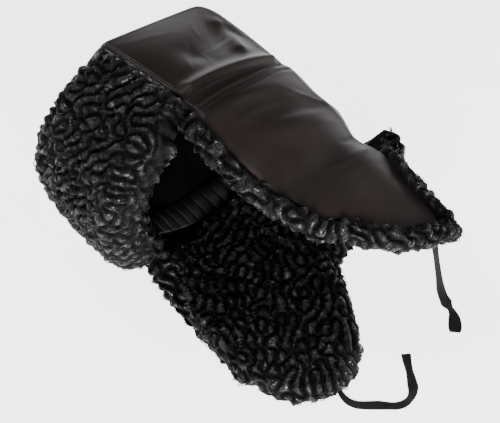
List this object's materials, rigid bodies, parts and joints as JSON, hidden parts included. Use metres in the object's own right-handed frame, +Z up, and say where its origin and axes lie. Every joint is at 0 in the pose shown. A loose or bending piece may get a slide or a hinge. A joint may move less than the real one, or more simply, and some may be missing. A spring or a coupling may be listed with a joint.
{
  "type": "fur hat with ear flaps",
  "caption": "Black leather and karakul fur hat with a turned-up fur visor and fur-lined ear flaps let down, lying on its side with two ribbon ties.",
  "frame": {"origin": "on the surface the hat lies on, under the middle of its outline without the ties", "axes": "+Z up from that surface; +X the hat's way down, from the crown's top towards the flaps' ends; -Y the hat's front, where the visor is"},
  "size_m": [0.3793, 0.265, 0.2045],
  "materials": {
    "crown_leather": "satin, soft wrinkles",
    "flap_leather": "satin, soft drape folds",
    "fur": "tight glossy karakul curls",
    "sweatband_cloth": "dull satin, pleated",
    "ribbon": "matt woven ribbon"
  },
  "bodies": {
    "root": {"crown_left": "crown_leather", "crown_right": "crown_leather", "crown_strip": "crown_leather", "flap_leather": "flap_leather", "ear_left_fur": "fur", "neck_fur": "fur", "ear_right_fur": "fur", "visor_fur": "fur", "sweatband": "sweatband_cloth", "tie_left": "ribbon", "tie_right": "ribbon"}
  },
  "joints": []
}
